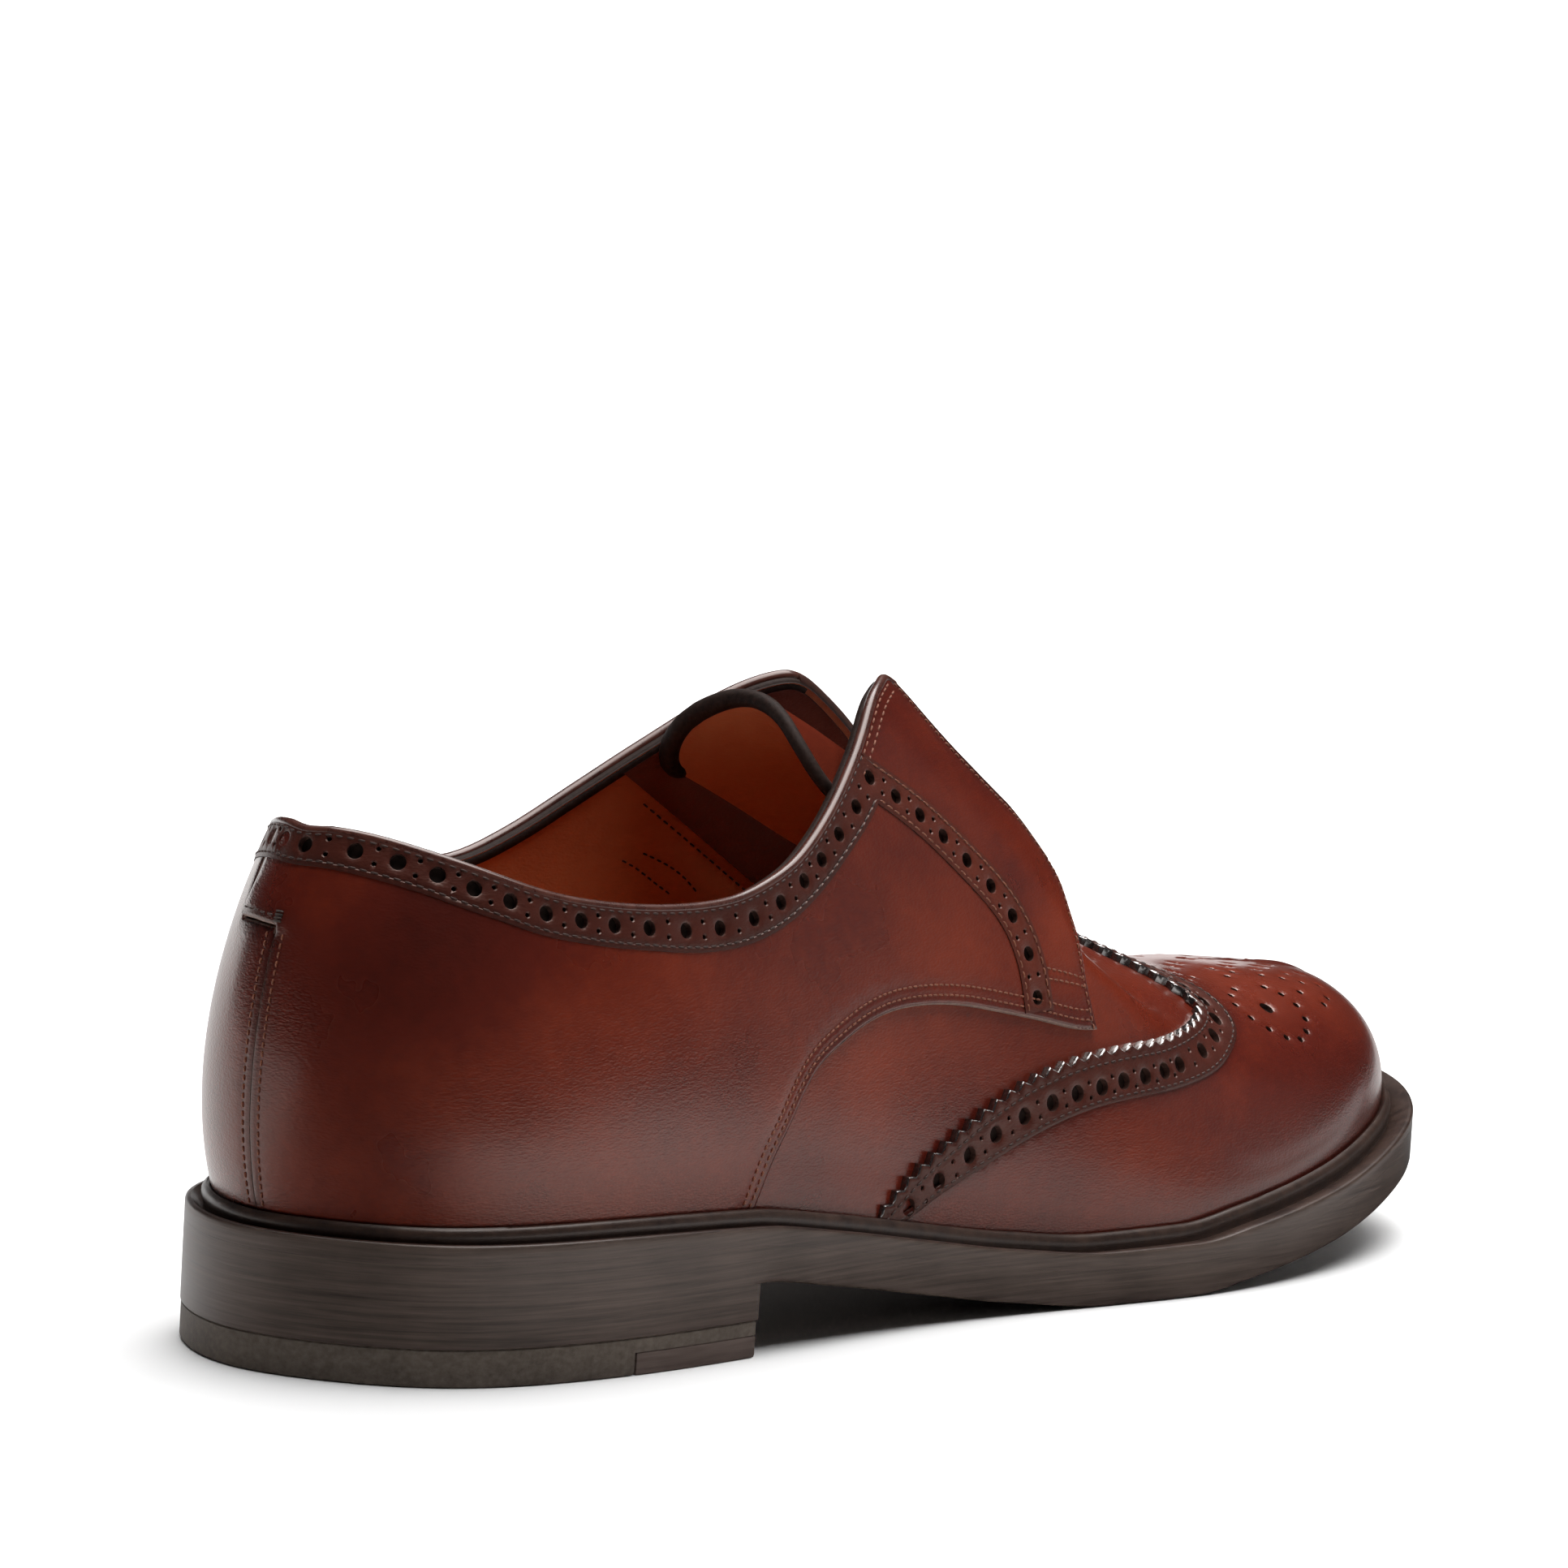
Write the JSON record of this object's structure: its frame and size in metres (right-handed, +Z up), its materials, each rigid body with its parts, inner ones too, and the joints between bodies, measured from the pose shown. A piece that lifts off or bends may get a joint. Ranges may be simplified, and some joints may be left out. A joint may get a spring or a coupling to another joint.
{
  "type": "derby shoe",
  "caption": "Right brogued wing-cap derby shoe in burnished leather, open at the collar, on a welted leather sole with a stacked heel; worn on the foot, laces not fitted.",
  "frame": {"origin": "on the floor under the heel, on the heel lift's underside, 42 mm in front of the back of the sole and in line with the back seam", "axes": "+X towards the toe, +Y towards the inner side of the foot, +Z up from the floor"},
  "size_m": [0.308, 0.1019, 0.1133],
  "materials": {
    "sole_leather": "dark dyed sole leather, trimmed edge, satin",
    "welt_leather": "dark brown welt leather, waxed",
    "heel_leather": "stacked leather, dark dyed edge",
    "heel_rubber": "dark brown rubber, matt",
    "insole_leather": "tan insole leather",
    "lining_leather": "red-brown vamp leather with its lining",
    "tongue_leather": "dark brown leather with a rolled top",
    "calf_leather": "burnished red-brown leather, polished",
    "strip_leather": "dark burnished brogue strip"
  },
  "bodies": {
    "root": {"outsole": "sole_leather", "welt": "welt_leather", "heel_stack": "heel_leather", "heel_lift": "heel_rubber", "heel_lift_insert": "heel_leather", "insole": "insole_leather", "upper": "lining_leather", "tongue": "tongue_leather", "quarter_lateral": "calf_leather", "quarter_medial": "calf_leather", "wing_cap": "calf_leather", "trim_strip": "strip_leather"}
  },
  "joints": []
}
